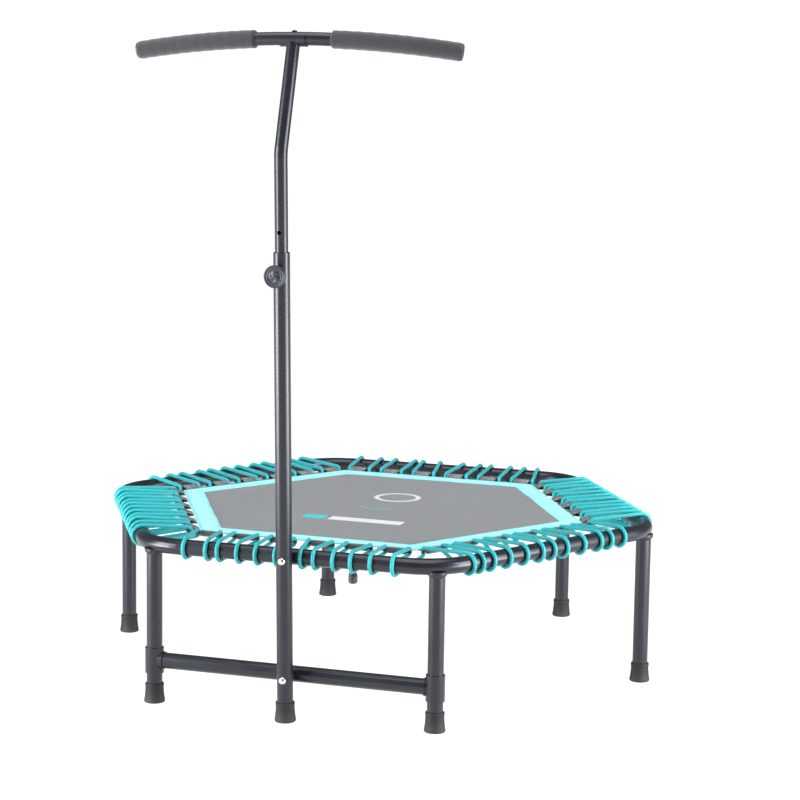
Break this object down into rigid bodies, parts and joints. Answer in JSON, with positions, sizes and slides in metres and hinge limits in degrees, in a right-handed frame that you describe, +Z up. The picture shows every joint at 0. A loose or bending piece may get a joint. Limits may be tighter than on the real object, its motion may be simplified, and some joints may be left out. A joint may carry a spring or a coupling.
{
  "type": "mini trampoline",
  "caption": "Six-sided fitness trampoline: mat laced to a tube ring with elastic cord, on six booted legs, with a T-handle on a height-adjustable mast held by a screw knob.",
  "frame": {"origin": "on the floor, under the middle of the object's bounding box", "axes": "+Z up; -Y towards the handle post; X along the handlebar"},
  "size_m": [1.222, 1.1754, 1.3344],
  "materials": {
    "frame_steel": "satin powder coat",
    "zinc": "bright zinc",
    "boot_rubber": "matte",
    "black_plastic": "moulded",
    "foam": "closed-cell foam",
    "mat_fabric": "woven",
    "border_fabric": "woven band",
    "webbing": "webbing",
    "cord": "braided elastic"
  },
  "bodies": {
    "frame": {"ring_tube": "frame_steel", "leg_sockets": "frame_steel", "leg_front_left": "frame_steel", "leg_front_right": "frame_steel", "leg_right": "frame_steel", "leg_back_right": "frame_steel", "leg_back_left": "frame_steel", "leg_left": "frame_steel", "boot_front_left": "boot_rubber", "boot_front_right": "boot_rubber", "boot_right": "boot_rubber", "boot_back_right": "boot_rubber", "boot_back_left": "boot_rubber", "boot_left": "boot_rubber", "boot_post": "boot_rubber", "crossbar": "frame_steel", "crossbar_sleeve_left": "frame_steel", "crossbar_sleeve_right": "frame_steel", "post_spacer": "black_plastic", "post_tube": "frame_steel", "post_bush": "black_plastic", "post_bolts": "zinc", "post_nuts": "zinc", "knob_boss": "frame_steel", "cord_front": "cord", "cord_front_right": "cord", "cord_back_right": "cord", "cord_back": "cord", "cord_back_left": "cord", "cord_front_left": "cord", "cord_end_cap": "black_plastic"},
    "mast": {"mast_tube": "frame_steel", "mast_plug": "black_plastic", "bar_saddle": "frame_steel", "handlebar": "frame_steel", "bar_bolt": "frame_steel", "bar_nut": "zinc", "grip_left": "foam", "grip_right": "foam", "bar_end_plugs": "black_plastic"},
    "lock_carriage": {"lock_washer": "zinc"},
    "lock_knob": {"knob_head": "black_plastic", "knob_stud": "zinc"},
    "mat": {"mat_sheet": "mat_fabric", "mat_border": "border_fabric", "tabs_front": "webbing", "tabs_front_right": "webbing", "tabs_back_right": "webbing", "tabs_back": "webbing", "tabs_back_left": "webbing", "tabs_front_left": "webbing", "rods_front": "black_plastic", "rods_front_right": "black_plastic", "rods_back_right": "black_plastic", "rods_back": "black_plastic", "rods_back_left": "black_plastic", "rods_front_left": "black_plastic"}
  },
  "joints": [
    {"name": "mast_height", "type": "slide", "parent": "frame", "child": "mast", "axis": [0, -0.0419, 0.9991], "range_m": [-0.08, 0.16]},
    {"name": "lock_travel", "type": "slide", "parent": "frame", "child": "lock_carriage", "axis": [0, -0.9991, -0.0419], "range_m": [0, 0.0045]},
    {"name": "lock_turn", "type": "hinge", "parent": "lock_carriage", "child": "lock_knob", "pos_m": [0, -0.5457, 0.87723], "axis": [0, -0.9991, -0.0419], "range_deg": [0, 1080]},
    {"name": "mat_bounce", "type": "slide", "parent": "frame", "child": "mat", "axis": [0, 0, 1], "range_m": [-0.15, 0], "stiffness_N_per_m": 6500, "springref_m": 0.002, "deforming": ["cord_front", "cord_front_right", "cord_back_right", "cord_back", "cord_back_left", "cord_front_left"]}
  ],
  "couplings": [
    {"joint": "lock_travel", "follows": "lock_turn", "m_per_rad": 0.00023873}
  ]
}
